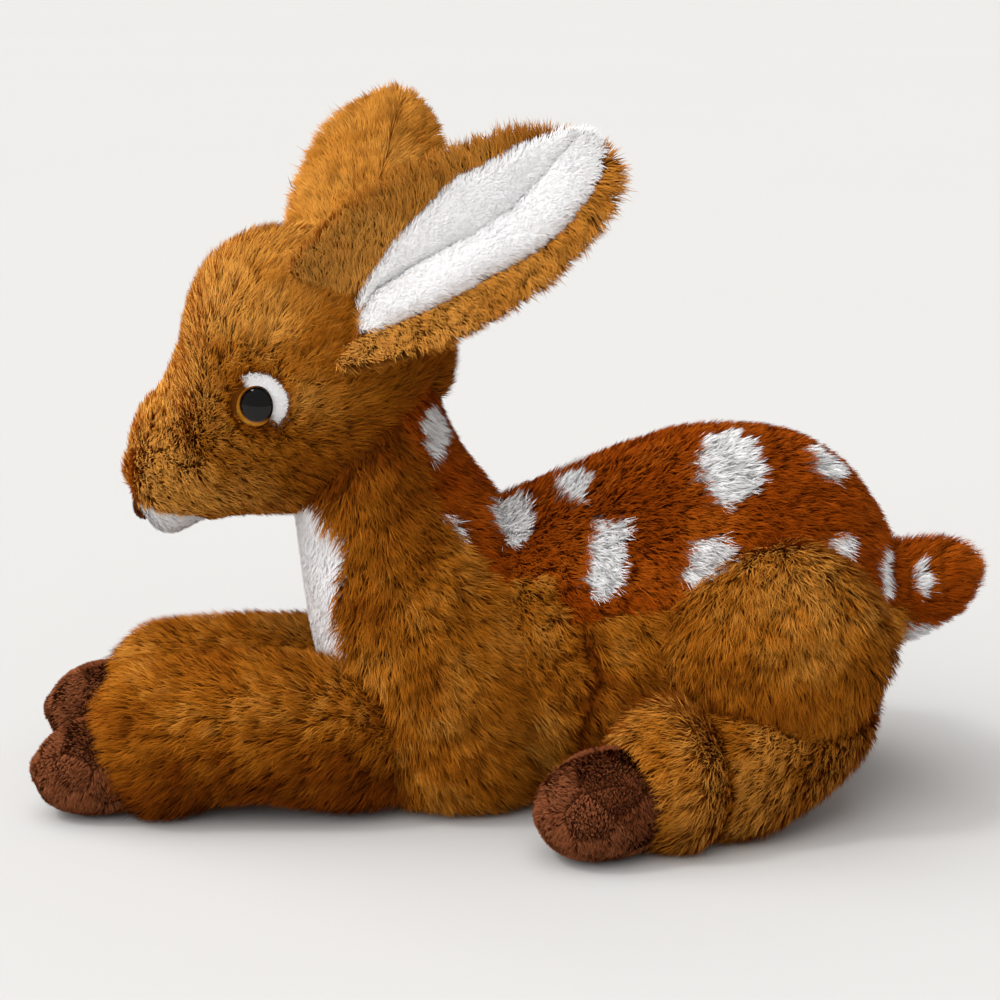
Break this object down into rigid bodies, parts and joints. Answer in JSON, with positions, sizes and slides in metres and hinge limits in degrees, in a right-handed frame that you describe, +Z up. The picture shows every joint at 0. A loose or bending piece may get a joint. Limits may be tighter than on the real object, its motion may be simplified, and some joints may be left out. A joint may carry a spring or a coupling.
{
  "type": "lying plush fawn",
  "caption": "Lying spotted plush fawn of sewn plush panels over stuffing, with sprung head, ears, legs and tail, amber safety eyes and short plush hooves.",
  "frame": {"origin": "on the floor in the middle of the flat under the chest", "axes": "+Z up, -X the way the fawn faces, -Y its left side"},
  "size_m": [0.3434, 0.2229, 0.2512],
  "materials": {
    "tawny_plush": "long soft pile",
    "red_brown_plush": "dense medium pile with white spots",
    "white_plush": "short soft pile",
    "dark_brown_short_plush": "short looped pile",
    "amber_eye_plastic": "glossy",
    "polyester_stuffing": "loose fibre",
    "pellet_pouch_cloth": "plain weave",
    "washer_plastic": "matte"
  },
  "bodies": {
    "torso": {"back_panel": "red_brown_plush", "bib_panel": "white_plush", "belly_panel": "tawny_plush", "left_flank_panel": "tawny_plush", "right_flank_panel": "tawny_plush", "pellet_bag": "pellet_pouch_cloth", "body_stuffing": "polyester_stuffing"},
    "head": {"left_head_panel": "tawny_plush", "right_head_panel": "tawny_plush", "chin_panel": "white_plush", "nose": "dark_brown_short_plush", "left_eye": "amber_eye_plastic", "right_eye": "amber_eye_plastic", "left_eye_patch": "white_plush", "right_eye_patch": "white_plush", "left_eye_washer": "washer_plastic", "right_eye_washer": "washer_plastic", "head_stuffing": "polyester_stuffing"},
    "left_ear": {"left_ear_back": "tawny_plush", "left_ear_lining": "white_plush"},
    "right_ear": {"right_ear_back": "tawny_plush", "right_ear_lining": "white_plush"},
    "left_foreleg": {"left_foreleg_panel": "tawny_plush", "left_foreleg_stuffing": "polyester_stuffing", "left_fore_hoof": "dark_brown_short_plush"},
    "right_foreleg": {"right_foreleg_panel": "tawny_plush", "right_foreleg_stuffing": "polyester_stuffing", "right_fore_hoof": "dark_brown_short_plush"},
    "left_hind_leg": {"left_thigh_panel": "tawny_plush", "left_thigh_stuffing": "polyester_stuffing", "left_foot_panel": "tawny_plush", "left_foot_stuffing": "polyester_stuffing", "left_hind_hoof": "dark_brown_short_plush"},
    "right_hind_leg": {"right_thigh_panel": "tawny_plush", "right_thigh_stuffing": "polyester_stuffing", "right_foot_panel": "tawny_plush", "right_foot_stuffing": "polyester_stuffing", "right_hind_hoof": "dark_brown_short_plush"},
    "tail": {"tail_top_panel": "red_brown_plush", "tail_underside_panel": "white_plush", "tail_stuffing": "polyester_stuffing"}
  },
  "joints": [
    {"name": "head_nod", "type": "hinge", "parent": "torso", "child": "head", "pos_m": [-0.035, 0, 0.138], "axis": [0, 1, 0], "range_deg": [-8, 8], "stiffness_Nm_per_rad": 1.6},
    {"name": "left_ear_bend", "type": "hinge", "parent": "head", "child": "left_ear", "pos_m": [-0.041, -0.029, 0.187], "axis": [-0.4283, 0.2321, 0.8733], "range_deg": [-10, 10], "stiffness_Nm_per_rad": 0.12},
    {"name": "right_ear_bend", "type": "hinge", "parent": "head", "child": "right_ear", "pos_m": [-0.04, 0.027, 0.19], "axis": [0.9438, 0.0557, -0.3259], "range_deg": [-10, 10], "stiffness_Nm_per_rad": 0.12},
    {"name": "left_foreleg_lift", "type": "hinge", "parent": "torso", "child": "left_foreleg", "pos_m": [-0.046, -0.035, 0.024], "axis": [0, 1, 0], "range_deg": [0, 12], "stiffness_Nm_per_rad": 1},
    {"name": "right_foreleg_lift", "type": "hinge", "parent": "torso", "child": "right_foreleg", "pos_m": [-0.046, 0.035, 0.024], "axis": [0, 1, 0], "range_deg": [0, 12], "stiffness_Nm_per_rad": 1},
    {"name": "left_hind_leg_lift", "type": "hinge", "parent": "torso", "child": "left_hind_leg", "pos_m": [0.113, -0.046, 0.072], "axis": [0, 1, 0], "range_deg": [0, 6], "stiffness_Nm_per_rad": 1.2},
    {"name": "right_hind_leg_lift", "type": "hinge", "parent": "torso", "child": "right_hind_leg", "pos_m": [0.113, 0.046, 0.072], "axis": [0, 1, 0], "range_deg": [0, 6], "stiffness_Nm_per_rad": 1.2},
    {"name": "tail_wag", "type": "hinge", "parent": "torso", "child": "tail", "pos_m": [0.15225, 0, 0.07191], "axis": [0, 1, 0], "range_deg": [-8, 8], "stiffness_Nm_per_rad": 0.08}
  ]
}
